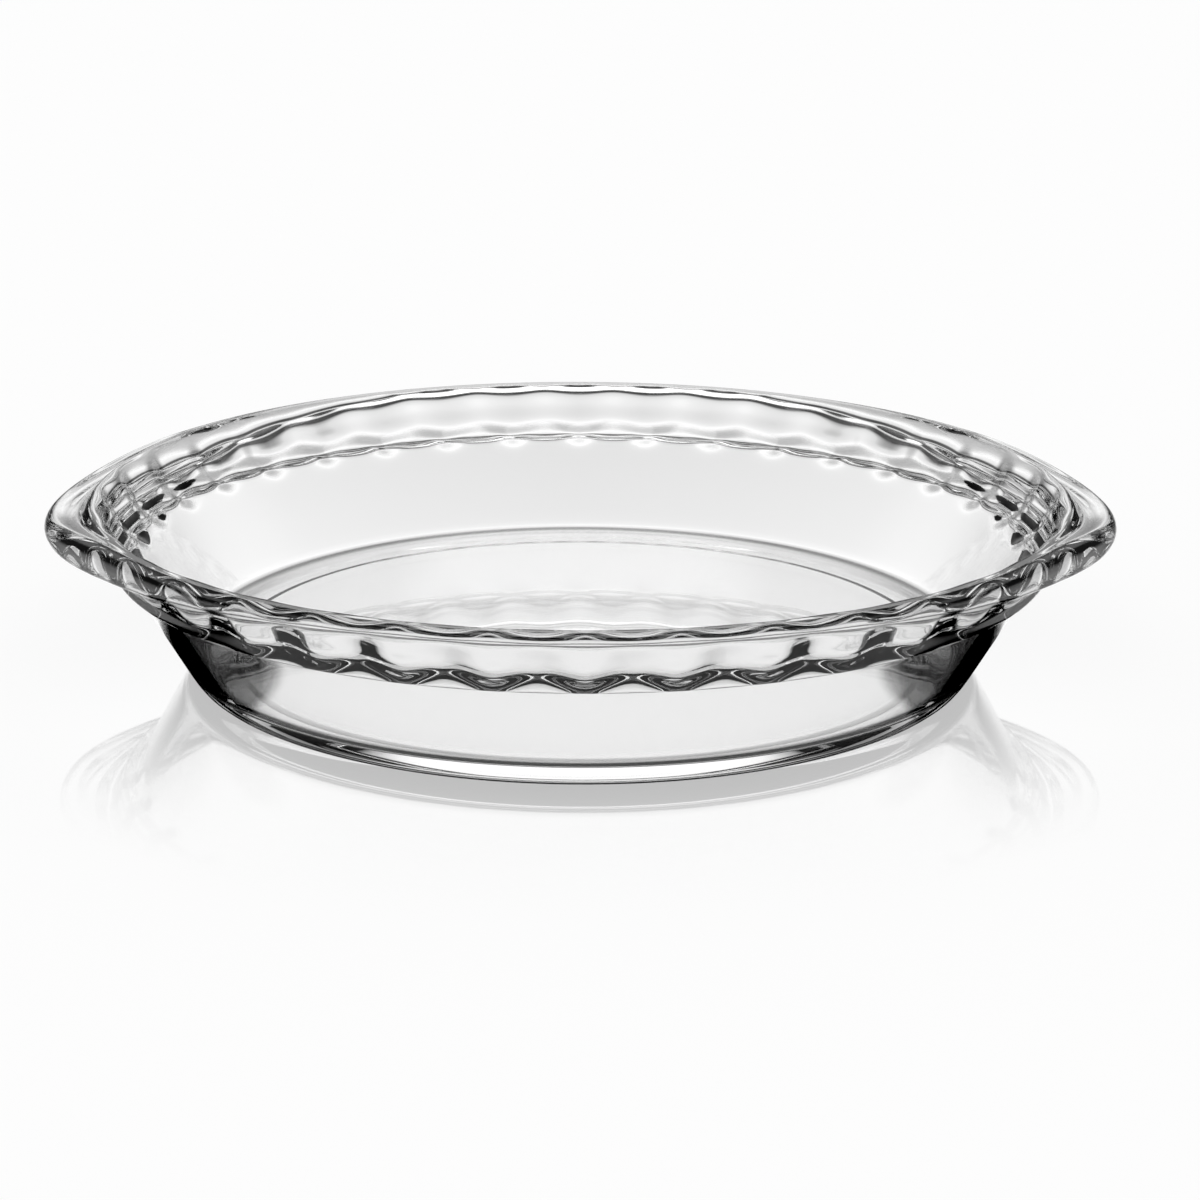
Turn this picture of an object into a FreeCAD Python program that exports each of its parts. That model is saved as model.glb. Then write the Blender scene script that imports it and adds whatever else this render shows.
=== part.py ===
"""Round pie dish of clear pressed glass, with a fluted band inside and two ear handles.

The dish is one pressing. Millimetres, +Z up, the origin at the centre of the resting face;
the ears point along X.
"""
import FreeCAD, Part
import math
import os

V = FreeCAD.Vector

# Overall sizes
HEIGHT = 43.0
RIM_RADIUS = 122.5            # round part of the rim, outside

# Ears
EAR_REACH = 9.6               # how far an ear stands out of the round rim
EAR_SPREAD = 34.0             # half angle over which an ear grows out of the rim, degrees
EAR_ROUND = 3.4               # depth of the rounded edge at the tip
EAR_TOP_DROP = 4.0            # the edge's top lies this much under the rim
EAR_TOP_SPREAD = 30.0         # half angle over which the edge's top comes down, degrees
EAR_UNDER_DROP = 9.0          # the edge's underside lies this much under that of the rim
EAR_UNDER_SPREAD = 75.0       # half angle over which the underside comes down, degrees
EAR_HOLLOW = 0.9              # finger hollow in the top, below the outer edge
EAR_ROOT_RISE = 3.2           # rise of the underside from the edge to the band

# Rim
RIM_WIDTH = 4.6               # top of the rim at the front and the back
RIM_THICKNESS = 2.6
RIM_ROUND = 1.8               # depth of the rounded edge
RIM_CROWN = 0.2               # fall of the top towards its inner edge
RIM_INNER_ROUND = 1.3
RIM_NECK = 1.0                # hollow under the rim where the band begins

# Upper band: a ledge outside, flutes inside
BAND_FLARE = 7.8              # the rim stands out this far beyond the ledge
LEDGE_HEIGHT = 27.5
LEDGE_STEP = 2.8              # the ledge stands out this far beyond the lower wall
LEDGE_EDGE = 2.0              # rounding of the ledge's outer edge
LEDGE_ROUND = 0.8             # rounding between the ledge and the lower wall
FLUTES = 36
FLUTE_DEPTH = 1.6
FLUTE_DROP = 2.6              # a flute starts this much lower than the ridge beside it
LIP_RISE = 4.1                # foot of the ridges above the ledge
LIP_STEP = 2.7                # the ridges stand back this far from the lower wall
LIP_ROUND = 2.0

# Lower wall, floor and foot
WALL_FLARE = 0.565            # outward travel of the lower wall for each mm of height
WALL_ACROSS = 4.8             # level thickness of the lower wall
FLOOR_TOP = 5.8
FLOOR_ROUND = 3.0
FOOT_ROUND = 5.0
FOOT_RING = 9.0               # width of the foot ring, measured from the wall's foot
FOOT_RECESS = 0.7             # hollow of the underside inside the foot ring
FOOT_SLANT = 1.5              # sloping side of that hollow

# Forms, as shares of the sizes above
LIP_BOW = 0.25                # how far out the lip is at half its height
FLUTE_SHAPE = (               # height up the flutes, share of the drop, share of the depth
    (0.0, 0.9, 0.7),
    (0.3, 0.4, 1.0),
    (0.65, 0.0, 1.0),
    (1.0, 0.0, 0.7))
ROUND_TOP = 0.25              # ring on the inner rounding: below the top,
ROUND_IN = 0.45               # inside the rim's inner edge,
ROUND_DEPTH = 0.4             # and how much of the flutes is left there
TOP_SHAPE = (                 # way across the top, share of the hollow
    (0.2, 0.05),
    (0.35, 0.6),
    (0.5, 1.0),
    (0.85, 0.9))
EDGE_TURNS = (90, 45, 0, -45, -90)
BAND_PARTS = (1.0, 0.66, 0.33, 0.0)

# Places that follow from the sizes
POINTS_ROUND = FLUTES * 8
LEDGE_RADIUS = RIM_RADIUS - BAND_FLARE
FOOT_RADIUS = LEDGE_RADIUS - LEDGE_STEP - WALL_FLARE * LEDGE_HEIGHT
LIP_HEIGHT = LEDGE_HEIGHT + LIP_RISE
SEAM_HEIGHT = LEDGE_HEIGHT - FLUTE_DROP
RIM_INNER = RIM_RADIUS - RIM_WIDTH

def wall_outside(height):
    """Radius of the lower wall outside at a height."""
    return FOOT_RADIUS + WALL_FLARE * height

def wall_inside(height):
    """Radius of the lower wall inside at a height."""
    return wall_outside(height) - WALL_ACROSS

def swell(angle, spread):
    """1 on the X axis, falling smoothly to 0 at the given angle either side of it."""
    off = abs((math.degrees(angle) + 90.0) % 180.0 - 90.0)
    if off >= spread:
        return 0.0
    return (1.0 + math.cos(math.pi * off / spread)) / 2.0

def flute(angle):
    """Wave round the band: 1 along the middle of a flute, 0 on a ridge."""
    return (1.0 + math.cos(FLUTES * angle)) / 2.0

def ring(section):
    """Closed row of points round the dish; section(angle) gives their radius and height."""
    points = []
    for i in range(POINTS_ROUND):
        angle = 2.0 * math.pi * i / POINTS_ROUND
        radius, height = section(angle)
        points.append(V(radius * math.cos(angle), radius * math.sin(angle), height))
    return points

def level_ring(radius, height):
    """Plain circle."""
    return ring(lambda angle: (radius, height))

def wall_ring(height, drop, out):
    """Ring on the inner wall, or out of it by some way; it dips by drop under each flute."""
    def section(angle):
        level = height - drop * flute(angle)
        return wall_inside(level) + out, level
    return ring(section)

def flute_ring(up, radius, drop, depth):
    """Ring inside the band: flutes lie lower by drop and deeper by depth than the ridges."""
    def section(angle):
        return radius + depth * flute(angle), up - drop * flute(angle)
    return ring(section)

def edge_radius(angle):
    """Outline of the rim and ears seen from above."""
    return RIM_RADIUS + EAR_REACH * swell(angle, EAR_SPREAD)

def edge_round(angle):
    """Depth of the rounded edge."""
    return RIM_ROUND + (EAR_ROUND - RIM_ROUND) * swell(angle, EAR_SPREAD)

def edge_top(angle):
    """Height of the edge's top."""
    return HEIGHT - EAR_TOP_DROP * swell(angle, EAR_TOP_SPREAD)

def edge_under(angle):
    """Height of the edge's underside."""
    return HEIGHT - RIM_THICKNESS - EAR_UNDER_DROP * swell(angle, EAR_UNDER_SPREAD)

def edge_ring(turn):
    """Ring on the rounded edge: turn is 90 on top, 0 outermost, -90 at the underside."""
    def section(angle):
        middle = (edge_top(angle) + edge_under(angle)) / 2.0
        half = (edge_top(angle) - edge_under(angle)) / 2.0
        inset = edge_round(angle) * (1.0 - math.cos(math.radians(turn)))
        return edge_radius(angle) - inset, middle + half * math.sin(math.radians(turn))
    return ring(section)

def top_ring(part, fall):
    """Ring on the top: part runs from the inner edge to the rounded edge, fall is 1 in a hollow."""
    def section(angle):
        outer = edge_radius(angle) - edge_round(angle)
        drop = HEIGHT - edge_top(angle) + EAR_HOLLOW * swell(angle, EAR_SPREAD)
        crown = RIM_CROWN * (1.0 - part) ** 2
        return RIM_INNER + (outer - RIM_INNER) * part, HEIGHT - drop * fall - crown
    return ring(section)

def band_ring(part):
    """Ring on the bowed outside of the band: part is 0 at the ledge, 1 under the rim."""
    def section(angle):
        bottom = LEDGE_HEIGHT + LEDGE_EDGE
        top = edge_under(angle) + EAR_ROOT_RISE * swell(angle, EAR_SPREAD) - RIM_NECK
        height = bottom + (top - bottom) * part
        up = (height - bottom) / (HEIGHT - RIM_THICKNESS - bottom)
        out = BAND_FLARE - RIM_ROUND - RIM_NECK
        return LEDGE_RADIUS + out * math.sin(math.pi / 2.0 * up), height
    return ring(section)

def closed_curve(points):
    """Smooth closed curve through a ring."""
    curve = Part.BSplineCurve()
    steps = [float(i) for i in range(POINTS_ROUND + 1)]
    curve.interpolate(Points=points, PeriodicFlag=True, Parameters=steps)
    return curve

def skin(rings):
    """Smooth face through rings, in their order, without a seam round the dish."""
    around = [closed_curve(points) for points in rings]
    along = [0.0]
    for near, far in zip(rings, rings[1:]):
        step = sum(p.distanceToPoint(q) for p, q in zip(near, far)) / POINTS_ROUND
        along.append(along[-1] + step)
    columns = []
    for poles in zip(*[curve.getPoles() for curve in around]):
        curve = Part.BSplineCurve()
        curve.interpolate(Points=list(poles), Parameters=along)
        columns.append(curve)
    net = [list(row) for row in zip(*[curve.getPoles() for curve in columns])]
    surface = Part.BSplineSurface()
    surface.buildFromPolesMultsKnots(
        net, columns[0].getMultiplicities(), around[0].getMultiplicities(),
        columns[0].getKnots(), around[0].getKnots(), False, True, 3, 3)
    return surface.toShape()

def turned(corners):
    """Faces turned about Z from a line of corners: (radius, height, corner radius)."""
    points = [V(radius, 0, height) for radius, height, _ in corners]
    sizes = [size for _, _, size in corners]
    edges = []
    start = points[0]
    for before, corner, after, size in zip(points, points[1:], points[2:], sizes[1:]):
        back = (before - corner).normalize()
        on = (after - corner).normalize()
        half = back.getAngle(on) / 2.0
        first = corner + back * (size / math.tan(half))
        last = corner + on * (size / math.tan(half))
        edges.append(Part.makeLine(start, first))
        if size > 0:
            middle = corner + (back + on).normalize() * (size / math.sin(half) - size)
            edges.append(Part.Arc(first, middle, last).toShape())
        start = last
    edges.append(Part.makeLine(start, points[-1]))
    return [edge.revolve(V(0, 0, 0), V(0, 0, 1), 360) for edge in edges]

# Fluted band inside: from the plain wall over the lip and up the flutes
ridge_foot = wall_inside(LIP_HEIGHT) + LIP_STEP
ridge_head = RIM_INNER - RIM_INNER_ROUND
low = LIP_HEIGHT + LIP_ROUND
high = HEIGHT - RIM_INNER_ROUND
flutes = [
    wall_ring(SEAM_HEIGHT, 0.0, 0.0),
    wall_ring(SEAM_HEIGHT + LIP_ROUND / 2.0, 0.0, 0.0),
    wall_ring(LIP_HEIGHT - LIP_ROUND, FLUTE_DROP, 0.0),
    wall_ring(LIP_HEIGHT, FLUTE_DROP, LIP_BOW * LIP_STEP),
]
for up, drop, depth in FLUTE_SHAPE:
    height = low + (high - low) * up
    radius = ridge_foot + (ridge_head - ridge_foot) * up
    flutes.append(flute_ring(height, radius, drop * FLUTE_DROP, depth * FLUTE_DEPTH))
flutes.append(flute_ring(
    HEIGHT - ROUND_TOP * RIM_INNER_ROUND, RIM_INNER - ROUND_IN * RIM_INNER_ROUND,
    0.0, ROUND_DEPTH * FLUTE_DEPTH))

# Rim and ears: over the top, round the edge, down the band and round to the ledge's underside
rim = [top_ring(part, fall) for part, fall in TOP_SHAPE]
edge = [edge_ring(turn) for turn in EDGE_TURNS]
band = [band_ring(part) for part in BAND_PARTS]
slack = LEDGE_EDGE * (1.0 - math.sqrt(0.5))
ledge = [
    level_ring(LEDGE_RADIUS - slack, LEDGE_HEIGHT + slack),
    level_ring(LEDGE_RADIUS - LEDGE_EDGE, LEDGE_HEIGHT),
]
crown = skin(flutes + rim + edge + band + ledge)

# Lower wall: inside down to the floor, outside from the ledge to the foot
inside = turned([
    (wall_inside(SEAM_HEIGHT), SEAM_HEIGHT, 0),
    (wall_inside(FLOOR_TOP), FLOOR_TOP, FLOOR_ROUND),
    (0, FLOOR_TOP, 0)])
outside = turned([
    (LEDGE_RADIUS - LEDGE_EDGE, LEDGE_HEIGHT, 0),
    (wall_outside(LEDGE_HEIGHT), LEDGE_HEIGHT, LEDGE_ROUND),
    (FOOT_RADIUS, 0, FOOT_ROUND),
    (FOOT_RADIUS - FOOT_RING, 0, 0),
    (FOOT_RADIUS - FOOT_RING - FOOT_SLANT, FOOT_RECESS, 0),
    (0, FOOT_RECESS, 0)])

# One closed solid
shell = Part.makeShell([crown] + inside + outside)
shell.sewShape()
dish = Part.makeSolid(shell)
if dish.Volume < 0:
    dish.reverse()

os.makedirs("parts", exist_ok=True)
dish.exportStep("parts/pie_dish.step")
print("solids", len(dish.Solids), "valid", dish.isValid(), "volume", round(dish.Volume), "faces", len(dish.Faces))
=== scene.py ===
"""Looks of the pressed-glass pie dish: the dish, its glass and a white studio, whose floor shows the glass a
painted shadow round the foot and painted dark cards.
"""
import math

import bmesh
import bpy
from bpy.props import FloatProperty, FloatVectorProperty, IntProperty, PointerProperty
from mathutils import Matrix, Vector


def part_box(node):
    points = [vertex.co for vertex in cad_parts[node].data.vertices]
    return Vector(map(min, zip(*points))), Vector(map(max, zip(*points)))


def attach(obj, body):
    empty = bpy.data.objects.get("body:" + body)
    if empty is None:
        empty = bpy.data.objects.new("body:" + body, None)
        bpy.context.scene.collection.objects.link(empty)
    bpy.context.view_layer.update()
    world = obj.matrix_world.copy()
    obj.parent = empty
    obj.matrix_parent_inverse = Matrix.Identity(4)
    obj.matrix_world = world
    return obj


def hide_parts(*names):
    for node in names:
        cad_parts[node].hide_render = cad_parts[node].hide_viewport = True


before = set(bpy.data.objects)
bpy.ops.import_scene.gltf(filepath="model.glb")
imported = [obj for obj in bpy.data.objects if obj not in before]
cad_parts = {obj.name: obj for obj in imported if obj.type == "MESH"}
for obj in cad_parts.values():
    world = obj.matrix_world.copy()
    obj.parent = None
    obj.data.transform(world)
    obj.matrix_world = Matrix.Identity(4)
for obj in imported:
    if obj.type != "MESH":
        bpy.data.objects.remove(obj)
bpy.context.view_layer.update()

bl_info = {
    "name": "Pressed-glass pie dish",
    "version": (1, 0, 0),
    "blender": (4, 5, 0),
    "location": "View3D > Sidebar > Pie dish",
    "description": "Models a clear glass pie dish with a fluted band and two ears, in a white studio",
    "category": "Object",
}

MM = 0.001
LOW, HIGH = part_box("pie_dish")

COLUMNS_PER_FLUTE = 4         # control columns across one flute
SMOOTHING = 2                 # subdivision levels of the finished dish
PIVOT_DEPTH = 1.0             # depth of the point that rings are resized about
WAVE_MIDDLE = 0.5             # a flute's control wave
WAVE_SWING = 0.75             # its swing, of which smoothing takes a third
LIP_OUT = 0.25                # the lip's upper ring stands out by this share of the lip's step
SEAM_RISE = 0.5               # plain ring under the lip, as a share of the lip's rounding
# Control rings up the outside of the band, then round the edge in degrees.
BAND_PARTS = (0.33, 0.66, 1.0)
EDGE_TURNS = (-90, -45, 0, 45, 90)
# Control rings over the top, each (part of its width, share of the ear's fall).
TOP_RINGS = ((0.85, 0.9), (0.5, 1.0), (0.35, 0.6), (0.2, 0.05))
# Ring between the rim and the flutes: shares of the inner rounding out and up, and of the flutes' depth.
SHOULDER = (0.55, 0.75, 0.4)
# Control rings down the flutes, each (place up the band, share of their depth, share of their drop).
FLUTE_RINGS = ((1.0, 0.7, 0.0), (0.65, 1.0, 0.0), (0.3, 1.0, 0.4), (0.0, 0.7, 0.9))

FLOOR_SIZE = 12.0             # metres
FLOOR_GAP = 0.1 * MM          # keeps the floor clear of the foot's own face
SENSOR = 36.0                 # millimetres
# The cards are painted shade: dark ovals in the floor's colour that only rays through or off the glass see.
PAINTED_CARD_EDGE = (0.9, 1.06)       # start and end of a card's soft edge, as shares of its size
SHINE_POWER = 3.6             # how fast the sheet turns from matt to mirror towards a low angle
SHINE_GAIN = 4.5              # brings the mirror to its full strength before the lowest angle
MIRROR_ROUGHNESS = 0.02       # polish of the sheet in the glass
IMAGE_ROUGHNESS = 0.03        # polish of the sheet in front of the dish
LEAST_LIGHT = 0.02            # light left in the darkest part of the surround
LIGHT_STEPS = {"max_bounces": 14, "glossy_bounces": 6, "transmission_bounces": 12}
# Greys of the studio, each (place, level): over the floor from the middle of the disc to the shade's end,
# round the surround from the back to the front, and up it from the horizon to straight overhead.
# The floor's greys are painted shade that only the glass sees: white under the dish, a dark ring round the
# foot as a painted shadow, and grey beyond it.
FLOOR_PAINTED_SHADE_GREYS = (
    (0.0, 0.96), (0.45, 0.96), (0.475, 0.35), (0.49, 0.06), (0.525, 0.06), (0.56, 0.6), (0.66, 0.55),
    (1.0, 0.6))
ROUND_GREYS = ((0.0, 1.0), (0.1, 1.0), (0.15, 0.3), (0.2, 0.3), (0.28, 0.95), (0.85, 0.9), (1.0, 0.6))
UPWARD_GREYS = (
    (0.1, 0.04), (0.19, 0.58), (0.24, 0.64), (0.28, 0.69), (0.33, 0.8), (0.39, 0.79), (0.47, 0.5),
    (0.56, 0.37), (0.74, 0.1), (0.85, 0.04))


def linear(code):
    """Linear colour of an sRGB hex value."""
    parts = [int(code[i:i + 2], 16) / 255 for i in (1, 3, 5)]
    return [p / 12.92 if p <= 0.04045 else ((p + 0.055) / 1.055) ** 2.4 for p in parts]


def length(name, description, default):
    """A size that the sidebar shows with its unit."""
    return FloatProperty(
        name=name, description=description, default=default, subtype="DISTANCE", unit="LENGTH", precision=5)


def degrees(name, description, default):
    """An angle that the sidebar shows in degrees."""
    return FloatProperty(
        name=name, description=description, default=math.radians(default), subtype="ANGLE", unit="ROTATION")


def colour(name, description, code):
    """A colour, written as sRGB hex."""
    return FloatVectorProperty(
        name=name, description=description, default=linear(code), subtype="COLOR", min=0, max=1)


class PieDishSizes(bpy.types.PropertyGroup):
    """Sizes of the dish"""
    height: length("Height", "Whole height", HIGH.z - LOW.z)
    rim_radius: length("Rim radius", "Round part of the rim, outside", HIGH.y)
    rim_width: length("Rim width", "Top of the rim at the front and the back", 4.6 * MM)
    rim_thickness: length("Rim thickness", "Height of the rim's edge", 2.6 * MM)
    rim_round: length("Rim rounding", "Depth of the rounded edge", 1.8 * MM)
    rim_crown: length("Rim crown", "Fall of the top towards its inner edge", 0.2 * MM)
    rim_inner_round: length("Inner rounding", "Rounding between the rim and the flutes", 1.3 * MM)
    rim_neck: length("Rim neck", "Hollow under the rim where the band begins", 1.0 * MM)
    ear_reach: length("Ear reach", "How far an ear stands out of the round rim", HIGH.x - HIGH.y)
    ear_spread: degrees("Ear spread", "Half angle over which an ear grows out", 34)
    ear_round: length("Ear rounding", "Depth of the rounded edge at the tip", 3.4 * MM)
    ear_top_drop: length("Ear top drop", "The edge's top lies this much under the rim", 4.0 * MM)
    ear_top_spread: degrees("Ear top spread", "Half angle over which the top comes down", 30)
    ear_under_drop: length("Ear under drop", "The ear's underside lies this much lower", 9.0 * MM)
    ear_under_spread: degrees("Ear under spread", "Half angle over which the underside comes down", 75)
    ear_hollow: length("Ear hollow", "Finger hollow in the top of an ear", 0.9 * MM)
    ear_root_rise: length("Ear root rise", "Rise of the underside towards the band", 3.2 * MM)
    band_flare: length("Band flare", "The rim stands out this far beyond the ledge", 7.8 * MM)
    ledge_height: length("Ledge height", "Underside of the upper band", 27.5 * MM)
    ledge_step: length("Ledge step", "The ledge stands out beyond the lower wall", 2.8 * MM)
    ledge_edge: length("Ledge edge", "Rounding of the ledge's outer edge", 2.0 * MM)
    ledge_round: length("Ledge rounding", "Rounding between the ledge and the lower wall", 0.8 * MM)
    flutes: IntProperty(name="Flutes", description="Flutes round the inside", default=36, min=8)
    flute_depth: length("Flute depth", "Depth of a flute between its ridges", 1.6 * MM)
    flute_drop: length("Flute drop", "A flute starts this much lower than a ridge", 2.6 * MM)
    lip_rise: length("Lip rise", "Foot of the ridges above the ledge", 4.1 * MM)
    lip_step: length("Lip step", "The ridges stand back this far from the wall", 2.7 * MM)
    lip_round: length("Lip rounding", "Rounding of the lip under the flutes", 2.0 * MM)
    wall_flare: FloatProperty(
        name="Wall flare", description="Outward travel per unit of height", default=0.565)
    wall_across: length("Wall", "Level thickness of the lower wall", 4.8 * MM)
    floor_top: length("Floor", "Height of the floor's top", 5.8 * MM)
    floor_round: length("Floor rounding", "Rounding between the wall and the floor", 3.0 * MM)
    foot_round: length("Foot rounding", "Rounding at the foot of the wall", 5.0 * MM)
    foot_ring: length("Foot ring", "Width of the foot ring", 9.0 * MM)
    foot_recess: length("Foot recess", "Hollow of the underside", 0.7 * MM)
    foot_slant: length("Foot slant", "Sloping side of that hollow", 1.5 * MM)


class PieDishGlass(bpy.types.PropertyGroup):
    """Finish of the glass"""
    tint: colour("Tint", "Light left after passing one wall", "#FCFCFC")
    ior: FloatProperty(name="IOR", description="Refraction of soda-lime glass", default=1.52, min=1, max=2)
    ripple: length("Ripple", "Width of the fire-polished surface's gentle waves", 14 * MM)
    ripple_height: length("Ripple height", "Height of those waves", 0.004 * MM)
    shadow: FloatProperty(
        name="Shadow", description="Light that one surface lets through to the shadow", default=0.95,
        min=0, max=1)


class PieDishStage(bpy.types.PropertyGroup):
    """Studio"""
    floor: colour("Floor", "Colour of the white floor", "#FDFDFD")
    image: FloatProperty(
        name="Mirror image", description="Strength of the image in the floor", default=0.42, min=0, max=1)
    image_start: length("Image start", "The mirror image fades from this distance from the middle", 97 * MM)
    image_end: length("Image end", "The mirror image is gone at this distance", 165 * MM)
    # The cards are painted shade: dark ovals in the floor's colour beside the dish, seen only through the
    # glass.
    painted_card_x: length("Card place", "Distance of each dark oval card from the middle, across", 100 * MM)
    painted_card_y: length("Card offset", "Place of the cards along the depth, negative in front", -32 * MM)
    painted_card_width: length("Card width", "Half the width of a card", 28 * MM)
    painted_card_depth: length("Card depth", "Half the depth of a card", 44 * MM)
    disc: length("Disc", "Radius of the matt disc under the dish", 86 * MM)
    disc_blur: length("Disc blur", "Softness of the disc's edge", 8 * MM)
    disc_offset: length("Disc offset", "Distance of the disc's middle behind that of the dish", 8 * MM)
    # The floor's shading is painted shade that only the glass sees, with a painted shadow ring round the
    # foot.
    shade_end: length("Shade end", "Distance over which the floor's shading runs", 200 * MM)
    window: FloatProperty(name="Window", description="Strength of the window behind", default=1.35, min=0)
    lamp: FloatProperty(name="Lamp", description="Strength of the lamp overhead", default=2.0, min=0)
    lamp_edge: degrees("Lamp edge", "Edge of the lamp, measured from straight up", 30)
    lamp_blur: degrees("Lamp blur", "Softness of that edge", 10)
    lens: FloatProperty(name="Lens", description="Focal length", default=81.07, subtype="DISTANCE_CAMERA")
    tilt: degrees("Tilt", "How far the camera looks down", 16.85)
    pan: degrees("Pan", "How far the camera looks to the right", 0.83)
    roll: degrees("Roll", "Turn of the picture", 0.30)
    camera_right: length("Camera right", "Place of the camera across", -4.7 * MM)
    camera_back: length("Camera back", "Distance of the camera in front of the dish", 646.9 * MM)
    camera_up: length("Camera up", "Height of the camera above the floor", 209.5 * MM)


def swell(angle, spread):
    """1 on the X axis, falling smoothly to 0 at the given angle either side of it."""
    off = abs((angle + math.pi / 2) % math.pi - math.pi / 2)
    return (1 + math.cos(math.pi * min(off / spread, 1))) / 2


def flute(s, angle):
    """Control value across a flute, which smooths to a wave from 1 in the flute to 0 on the ridge."""
    return WAVE_MIDDLE + WAVE_SWING * math.cos(s.flutes * angle)


def wall_outside(s, height):
    """Radius of the lower wall outside."""
    foot = s.rim_radius - s.band_flare - s.ledge_step - s.wall_flare * s.ledge_height
    return foot + s.wall_flare * height


def wall_inside(s, height):
    """Radius of the lower wall inside."""
    return wall_outside(s, height) - s.wall_across


def edge_radius(s, angle):
    """Outline of the rim and ears seen from above."""
    return s.rim_radius + s.ear_reach * swell(angle, s.ear_spread)


def edge_round(s, angle):
    """Depth of the rounded edge."""
    return s.rim_round + (s.ear_round - s.rim_round) * swell(angle, s.ear_spread)


def edge_top(s, angle):
    """Height of the edge's top."""
    return s.height - s.ear_top_drop * swell(angle, s.ear_top_spread)


def edge_under(s, angle):
    """Height of the edge's underside."""
    return s.height - s.rim_thickness - s.ear_under_drop * swell(angle, s.ear_under_spread)


def level(radius, height):
    """Section of a plain ring."""
    return lambda angle: (radius, height)


def rounded(corners):
    """Plain rings that round a line of corners, each (radius, height, rounding), three to a corner.

    Smoothing pulls a corner's middle ring inwards by a third of how far its neighbours lie inwards of it.
    """
    rings = []
    for before, at, after in zip(corners, corners[1:], corners[2:]):
        corner = Vector(at[:2])
        back = (Vector(before[:2]) - corner).normalized()
        on = (Vector(after[:2]) - corner).normalized()
        half = back.angle(on) / 2
        reach = 3 * at[2] * (1 / math.sin(half) - 1) / math.cos(half)
        rings += [level(*(corner + step)) for step in (back * reach, Vector((0, 0)), on * reach)]
    return rings


def band(s, part):
    """Section on the bowed outside of the band: part is 0 at the ledge, 1 under the rim."""
    def section(angle):
        bottom = s.ledge_height + s.ledge_edge
        top = edge_under(s, angle) + s.ear_root_rise * swell(angle, s.ear_spread) - s.rim_neck
        height = bottom + (top - bottom) * part
        up = (height - bottom) / (s.height - s.rim_thickness - bottom)
        out = s.band_flare - s.rim_round - s.rim_neck
        return s.rim_radius - s.band_flare + out * math.sin(math.pi / 2 * up), height
    return section


def edge(s, turn):
    """Section on the rounded edge: turn is 90 on top, 0 outermost, -90 at the underside."""
    def section(angle):
        middle = (edge_top(s, angle) + edge_under(s, angle)) / 2
        half = (edge_top(s, angle) - edge_under(s, angle)) / 2
        inset = edge_round(s, angle) * (1 - math.cos(math.radians(turn)))
        return edge_radius(s, angle) - inset, middle + half * math.sin(math.radians(turn))
    return section


def top(s, part, fall):
    """Section on the top: part runs from the inner edge to the rounded edge, fall is 1 in a hollow."""
    def section(angle):
        inner = s.rim_radius - s.rim_width
        outer = edge_radius(s, angle) - edge_round(s, angle)
        drop = s.height - edge_top(s, angle) + s.ear_hollow * swell(angle, s.ear_spread)
        return inner + (outer - inner) * part, s.height - drop * fall - s.rim_crown * (1 - part) ** 2
    return section


def fluted(s, radius, height, depth, drop):
    """Section inside the band: the flutes lie deeper and lower than the ridges."""
    def section(angle):
        return radius + depth * flute(s, angle), height - drop * flute(s, angle)
    return section


def lip(s, height, out):
    """Section on the inner wall, or out of it by some way, that dips under each flute."""
    def section(angle):
        low = height - s.flute_drop * flute(s, angle)
        return wall_inside(s, low) + out, low
    return section


def dish_sections(s):
    """Control rings from the middle of the underside, round the outside and over the rim to the floor."""
    foot = wall_outside(s, 0)
    ledge = s.rim_radius - s.band_flare
    recess = foot - s.foot_ring
    underside = recess - s.foot_slant
    outside = [level(underside - s.foot_ring, s.foot_recess)] + rounded([
        (0, s.foot_recess, 0),
        (underside, s.foot_recess, s.foot_recess),
        (recess, 0, s.foot_recess),
        (foot, 0, s.foot_round),
        (wall_outside(s, s.ledge_height), s.ledge_height, s.ledge_round),
        (ledge, s.ledge_height, s.ledge_edge),
        (*band(s, BAND_PARTS[0])(math.pi / 2), 0)])
    outside += [band(s, part) for part in BAND_PARTS]
    outside += [edge(s, turn) for turn in EDGE_TURNS]
    outside += [top(s, part, fall) for part, fall in TOP_RINGS]

    lip_height = s.ledge_height + s.lip_rise
    foot_of_ridge = wall_inside(s, lip_height) + s.lip_step
    head_of_ridge = s.rim_radius - s.rim_width - s.rim_inner_round
    low = lip_height + s.lip_round
    high = s.height - s.rim_inner_round
    out, up, depth = SHOULDER
    inside = [fluted(
        s, head_of_ridge + out * s.rim_inner_round, high + up * s.rim_inner_round, depth * s.flute_depth, 0)]
    for up, depth, drop in FLUTE_RINGS:
        radius = foot_of_ridge + (head_of_ridge - foot_of_ridge) * up
        inside.append(fluted(
            s, radius, low + (high - low) * up, depth * s.flute_depth, drop * s.flute_drop))
    inside += [lip(s, lip_height, LIP_OUT * s.lip_step), lip(s, lip_height - s.lip_round, 0)]
    seam = s.ledge_height - s.flute_drop
    under_lip = seam + SEAM_RISE * s.lip_round
    inside += [level(wall_inside(s, under_lip), under_lip)] + rounded([
        (wall_inside(s, seam), seam, 0),
        (wall_inside(s, s.floor_top), s.floor_top, s.floor_round),
        (0, s.floor_top, 0)])
    return outside + inside + [level(recess, s.floor_top)]


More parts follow.
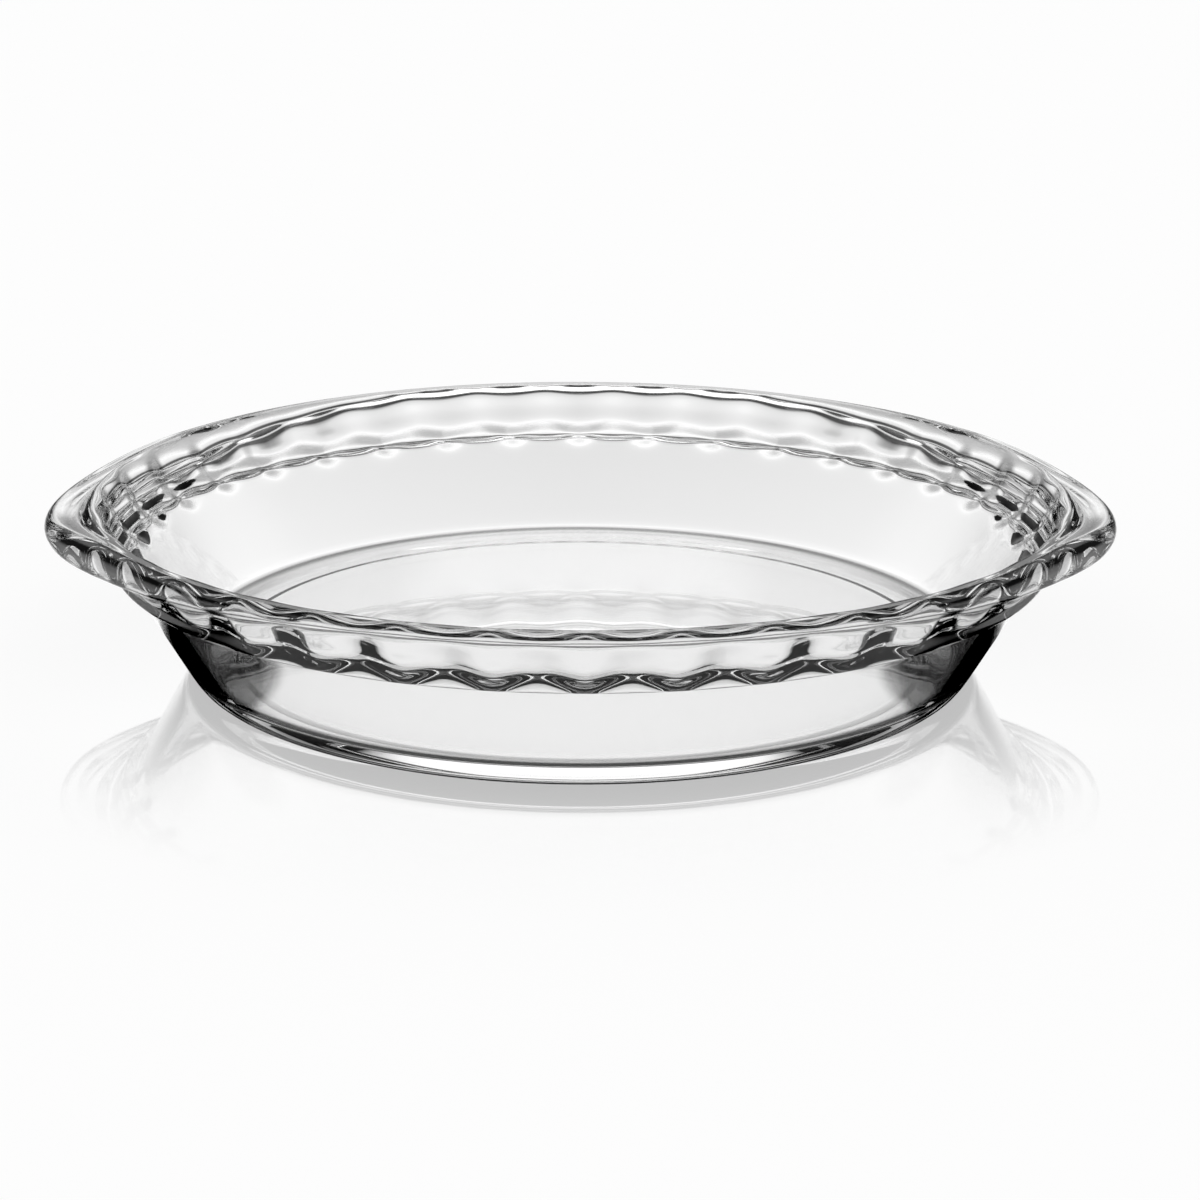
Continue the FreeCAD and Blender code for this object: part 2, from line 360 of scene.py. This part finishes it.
def place_ring(mesh, section):
    """Moves the selected ring to its section; columns that move alike are moved together.

    A resize about a point far below on the axis changes the radius and the height at once.
    """
    bm = bmesh.from_edit_mesh(mesh)
    ring = [vert for vert in bm.verts if vert.select]
    groups = {}
    for vert in ring:
        radius, height = section(math.atan2(vert.co.y, vert.co.x))
        across = radius / vert.co.xy.length
        up = (height + PIVOT_DEPTH) / (vert.co.z + PIVOT_DEPTH)
        groups.setdefault((round(across, 7), round(up, 7)), []).append(vert)
    for (across, up), alike in groups.items():
        for vert in ring:
            vert.select = False
        for vert in alike:
            vert.select = True
        bpy.ops.transform.resize(value=(across, across, up), center_override=(0, 0, -PIVOT_DEPTH))
    for vert in ring:
        vert.select = True
    bm.select_flush(True)


def smooth_between_caps(piece):
    """Subdivides the rings with the two round caps taken off, then closes them with flat ones."""
    bpy.ops.mesh.select_all(action="DESELECT")
    bpy.ops.mesh.select_mode(type="FACE")
    bpy.ops.mesh.select_face_by_sides(number=4, type="GREATER")
    bpy.ops.mesh.delete(type="ONLY_FACE")
    bpy.ops.object.mode_set(mode="OBJECT")
    bpy.ops.object.modifier_add(type="SUBSURF")
    modifier = piece.modifiers[-1]
    modifier.levels = modifier.render_levels = SMOOTHING
    bpy.ops.object.modifier_apply(modifier=modifier.name)
    bpy.ops.object.mode_set(mode="EDIT")
    bpy.ops.mesh.select_all(action="SELECT")
    bpy.ops.mesh.fill_holes(sides=0)
    bpy.ops.mesh.select_all(action="SELECT")
    bpy.ops.mesh.normals_make_consistent(inside=False)
    bpy.ops.object.mode_set(mode="OBJECT")
    bpy.ops.object.shade_smooth()


def add_node(tree, kind, inputs=None, **settings):
    """Adds a node, sets it up and feeds its inputs with values, outputs or other nodes' first outputs."""
    node = tree.nodes.new(kind)
    for name, value in settings.items():
        setattr(node, name, value)
    for name, value in (inputs or {}).items():
        if isinstance(value, bpy.types.Node):
            value = value.outputs[0]
        if isinstance(value, bpy.types.NodeSocket):
            tree.links.new(value, node.inputs[name])
        else:
            node.inputs[name].default_value = value
    return node


def empty_tree(block):
    """Clears a material's or world's nodes and returns its tree."""
    block.use_nodes = True
    block.node_tree.nodes.clear()
    return block.node_tree


def pressed_glass(g):
    """Soda-lime glass, pressed and fire-polished: clear, mirror smooth, with gentle waves left by the polish.

    Lamps and the light that the floor scatters pass through it, so that the shadow stays a faint one.
    """
    material = bpy.data.materials.new("clear soda-lime glass, pressed")
    tree = empty_tree(material)
    place = add_node(tree, "ShaderNodeTexCoord").outputs["Object"]
    waves = add_node(tree, "ShaderNodeTexNoise", {"Vector": place, "Scale": 1 / g.ripple, "Detail": 1.0})
    bump = add_node(tree, "ShaderNodeBump", {
        "Height": waves.outputs["Fac"], "Distance": g.ripple_height, "Strength": 1.0})
    glass = add_node(tree, "ShaderNodeBsdfPrincipled", {
        "Base Color": (*g.tint, 1), "Roughness": 0.0, "IOR": g.ior, "Transmission Weight": 1.0,
        "Normal": bump.outputs["Normal"]})
    path = add_node(tree, "ShaderNodeLightPath")
    through = add_node(tree, "ShaderNodeMath", {
        0: path.outputs["Is Shadow Ray"], 1: path.outputs["Is Diffuse Ray"]}, operation="MAXIMUM")
    clear = add_node(tree, "ShaderNodeBsdfTransparent", {"Color": (g.shadow, g.shadow, g.shadow, 1)})
    shown = add_node(tree, "ShaderNodeMixShader", {0: through, 1: glass, 2: clear})
    add_node(tree, "ShaderNodeOutputMaterial", {"Surface": shown})
    return material


class PIEDISH_OT_dish(bpy.types.Operator):
    """Press the dish: its section is drawn out ring by ring, then smoothed"""
    bl_idname = "pie_dish.dish"
    bl_label = "Glass dish"

    def execute(self, context):
        s = context.scene.pie_dish_sizes
        sections = dish_sections(s)
        bpy.ops.object.select_all(action="DESELECT")
        bpy.ops.mesh.primitive_circle_add(
            vertices=s.flutes * COLUMNS_PER_FLUTE, radius=s.rim_radius, fill_type="NGON")
        dish = context.object
        bpy.ops.object.mode_set(mode="EDIT")
        bpy.ops.mesh.select_mode(type="VERT")
        bpy.ops.mesh.select_all(action="SELECT")
        place_ring(dish.data, sections[0])
        for section in sections[1:]:
            bpy.ops.mesh.extrude_region_move()
            place_ring(dish.data, section)
        smooth_between_caps(dish)
        dish.name = dish.data.name = "glass_dish"
        dish.data.materials.append(pressed_glass(context.scene.pie_dish_glass))
        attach(dish, "root")
        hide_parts("pie_dish")
        return {"FINISHED"}


def grey_stops(node, stops):
    """Gives a colour ramp its greys, each (place from 0 to 1, level), and returns the ramp."""
    elements = node.color_ramp.elements
    elements[0].position, elements[1].position = stops[0][0], stops[-1][0]
    for place, _ in stops[1:-1]:
        elements.new(place)
    for element, (_, grey) in zip(elements, stops):
        element.color = (grey, grey, grey, 1)
    return node


def seen_by_glass(tree):
    """1 for rays that come through the glass or off it, 0 for those straight from the camera."""
    path = add_node(tree, "ShaderNodeLightPath")
    return add_node(tree, "ShaderNodeMath", {
        0: path.outputs["Is Glossy Ray"], 1: path.outputs["Is Transmission Ray"]}, operation="MAXIMUM")


def studio_floor(stage):
    """White acrylic sheet. Straight from the camera it is matt white, with a mirror image close to the dish.

    The glass shows it white under the dish and as a mirror at a low angle outside. For the glass only, a
    painted shadow lies as a dark ring round the foot, and painted shade lies as a dark card on either side of
    the dish, to give the glass dark edges.
    """
    material = bpy.data.materials.new("white acrylic, polished")
    tree = empty_tree(material)
    place = add_node(tree, "ShaderNodeTexCoord").outputs["Object"]

    axes = add_node(tree, "ShaderNodeSeparateXYZ", {0: place})
    across = add_node(tree, "ShaderNodeMath", {0: axes.outputs["X"]}, operation="ABSOLUTE")
    either_side = add_node(tree, "ShaderNodeCombineXYZ", {"X": across, "Y": axes.outputs["Y"]})
    from_painted_card = add_node(tree, "ShaderNodeVectorMath", {
        0: either_side, 1: (stage.painted_card_x, stage.painted_card_y, 0)}, operation="SUBTRACT")
    in_painted_cards = add_node(tree, "ShaderNodeVectorMath", {
        0: from_painted_card, 1: (stage.painted_card_width, stage.painted_card_depth, 1)}, operation="DIVIDE")
    off_painted_card = add_node(tree, "ShaderNodeVectorMath", {0: in_painted_cards}, operation="LENGTH").outputs["Value"]
    # 0 on the two painted dark cards, 1 elsewhere: the cards are painted shade beside the dish, seen only
    # through the glass.
    off_painted_cards = add_node(tree, "ShaderNodeMapRange", {
        "Value": off_painted_card, "From Min": PAINTED_CARD_EDGE[0], "From Max": PAINTED_CARD_EDGE[1]},
        interpolation_type="SMOOTHSTEP")

    outward = add_node(tree, "ShaderNodeVectorMath", {
        0: place, 1: (0, stage.disc_offset, 0)}, operation="DISTANCE").outputs["Value"]
    along = add_node(tree, "ShaderNodeMath", {0: outward, 1: stage.shade_end}, operation="DIVIDE")
    # Painted shade that only the glass sees: a dark ring round the foot as a painted shadow, grey beyond it,
    # and the painted dark cards.
    shade = grey_stops(add_node(tree, "ShaderNodeValToRGB", {0: along}), FLOOR_PAINTED_SHADE_GREYS)
    grey = add_node(tree, "ShaderNodeMath", {0: shade, 1: off_painted_cards}, operation="MULTIPLY")
    sheet = add_node(tree, "ShaderNodeBsdfDiffuse", {"Color": grey})

    facing = add_node(tree, "ShaderNodeLayerWeight", {"Blend": 0.5}).outputs["Facing"]
    low_angle = add_node(tree, "ShaderNodeMath", {0: facing, 1: SHINE_POWER}, operation="POWER")
    shine = add_node(tree, "ShaderNodeMath", {
        0: low_angle, 1: SHINE_GAIN}, operation="MULTIPLY", use_clamp=True)
    off_disc = add_node(tree, "ShaderNodeMapRange", {
        "Value": outward, "From Min": stage.disc, "From Max": stage.disc + stage.disc_blur},
        interpolation_type="SMOOTHSTEP")
    polished = add_node(tree, "ShaderNodeMath", {0: off_painted_cards, 1: off_disc}, operation="MULTIPLY")
    gloss = add_node(tree, "ShaderNodeMath", {0: shine, 1: polished}, operation="MULTIPLY")
    mirror = add_node(tree, "ShaderNodeBsdfGlossy", {"Color": (1, 1, 1, 1), "Roughness": MIRROR_ROUGHNESS})
    through_glass = add_node(tree, "ShaderNodeMixShader", {0: gloss, 1: sheet, 2: mirror})

    reach = add_node(tree, "ShaderNodeVectorMath", {0: place}, operation="LENGTH").outputs["Value"]
    fading = add_node(tree, "ShaderNodeMapRange", {
        "Value": reach, "From Min": stage.image_start, "From Max": stage.image_end,
        "To Min": stage.image, "To Max": 0.0}, interpolation_type="SMOOTHSTEP")
    matt = add_node(tree, "ShaderNodeBsdfDiffuse", {"Color": (*stage.floor, 1)})
    image = add_node(tree, "ShaderNodeBsdfGlossy", {"Color": (1, 1, 1, 1), "Roughness": IMAGE_ROUGHNESS})
    direct = add_node(tree, "ShaderNodeMixShader", {0: fading, 1: matt, 2: image})

    shown = add_node(tree, "ShaderNodeMixShader", {0: seen_by_glass(tree), 1: direct, 2: through_glass})
    add_node(tree, "ShaderNodeOutputMaterial", {"Surface": shown})
    return material


def studio_surround(stage):
    """White room. The glass shows a bright window behind, dimmer strips beside it and a lamp overhead."""
    world = bpy.data.worlds.new("white studio")
    tree = empty_tree(world)
    direction = add_node(tree, "ShaderNodeTexCoord").outputs["Generated"]
    axes = add_node(tree, "ShaderNodeSeparateXYZ", {0: direction})
    rise = axes.outputs["Z"]

    across = add_node(tree, "ShaderNodeMath", {0: axes.outputs["X"]}, operation="ABSOLUTE")
    turn = add_node(tree, "ShaderNodeMath", {0: across, 1: axes.outputs["Y"]}, operation="ARCTAN2")
    half_turns = add_node(tree, "ShaderNodeMath", {0: turn, 1: math.pi}, operation="DIVIDE")
    around = grey_stops(add_node(tree, "ShaderNodeValToRGB", {0: half_turns}), ROUND_GREYS)
    upward = grey_stops(add_node(tree, "ShaderNodeValToRGB", {0: rise}), UPWARD_GREYS)
    pane = add_node(tree, "ShaderNodeMath", {0: around, 1: upward}, operation="MULTIPLY")
    window = add_node(tree, "ShaderNodeMath", {0: pane, 1: stage.window}, operation="MULTIPLY")
    room = add_node(tree, "ShaderNodeMath", {0: window, 1: LEAST_LIGHT}, operation="MAXIMUM")

    lamp = add_node(tree, "ShaderNodeMapRange", {
        "Value": rise, "From Min": math.cos(stage.lamp_edge),
        "From Max": math.cos(stage.lamp_edge - stage.lamp_blur)}, interpolation_type="SMOOTHSTEP")
    glow = add_node(tree, "ShaderNodeMath", {0: lamp, 1: stage.lamp, 2: room}, operation="MULTIPLY_ADD")
    strength = add_node(tree, "ShaderNodeMix", {
        "Factor": seen_by_glass(tree), "A": 1.0, "B": glow}, data_type="FLOAT")
    light = add_node(tree, "ShaderNodeBackground", {"Color": (1, 1, 1, 1), "Strength": strength})
    add_node(tree, "ShaderNodeOutputWorld", {"Surface": light})
    return world


class PIEDISH_OT_stage(bpy.types.Operator):
    """Set up the white floor, the surround and the camera"""
    bl_idname = "pie_dish.stage"
    bl_label = "Studio"

    def execute(self, context):
        scene = context.scene
        stage = scene.pie_dish_stage
        bpy.ops.object.select_all(action="DESELECT")
        bpy.ops.mesh.primitive_plane_add(size=FLOOR_SIZE, location=(0, 0, LOW.z - FLOOR_GAP))
        floor = context.object
        floor.name = "studio_floor"
        floor.data.materials.append(studio_floor(stage))

        scene.world = studio_surround(stage)

        bpy.ops.object.camera_add()
        camera = context.object
        camera.data.sensor_width = SENSOR
        camera.data.lens = stage.lens
        camera.matrix_world = (
            Matrix.Translation((stage.camera_right, -stage.camera_back, stage.camera_up))
            @ Matrix.Rotation(-stage.pan, 4, "Z")
            @ Matrix.Rotation(math.pi / 2 - stage.tilt, 4, "X")
            @ Matrix.Rotation(stage.roll, 4, "Z"))
        scene.camera = camera
        scene.view_settings.view_transform = "Standard"
        for name, steps in LIGHT_STEPS.items():
            setattr(scene.cycles, name, steps)
        return {"FINISHED"}


class PIEDISH_PT_panel(bpy.types.Panel):
    """Sidebar with the dish's sizes, glass and studio"""
    bl_idname = "PIEDISH_PT_panel"
    bl_label = "Pie dish"
    bl_space_type = "VIEW_3D"
    bl_region_type = "UI"
    bl_category = "Pie dish"

    def draw(self, context):
        for operator, group in OPERATORS:
            box = self.layout.box()
            box.operator(operator)
            for name in group:
                settings = getattr(context.scene, name)
                for prop in settings.bl_rna.properties:
                    if prop.identifier not in ("rna_type", "name"):
                        box.prop(settings, prop.identifier)


OPERATORS = (
    ("pie_dish.dish", ("pie_dish_sizes", "pie_dish_glass")),
    ("pie_dish.stage", ("pie_dish_stage",)),
)
GROUPS = (
    ("pie_dish_sizes", PieDishSizes),
    ("pie_dish_glass", PieDishGlass),
    ("pie_dish_stage", PieDishStage),
)
CLASSES = (PIEDISH_OT_dish, PIEDISH_OT_stage, PIEDISH_PT_panel)


def register():
    for name, group in GROUPS:
        bpy.utils.register_class(group)
        setattr(bpy.types.Scene, name, PointerProperty(type=group))
    for cls in CLASSES:
        bpy.utils.register_class(cls)


def unregister():
    for cls in reversed(CLASSES):
        bpy.utils.unregister_class(cls)
    for name, group in reversed(GROUPS):
        delattr(bpy.types.Scene, name)
        bpy.utils.unregister_class(group)


def main():
    register()
    bpy.ops.pie_dish.dish()
    bpy.ops.pie_dish.stage()


if __name__ == "__main__":
    main()
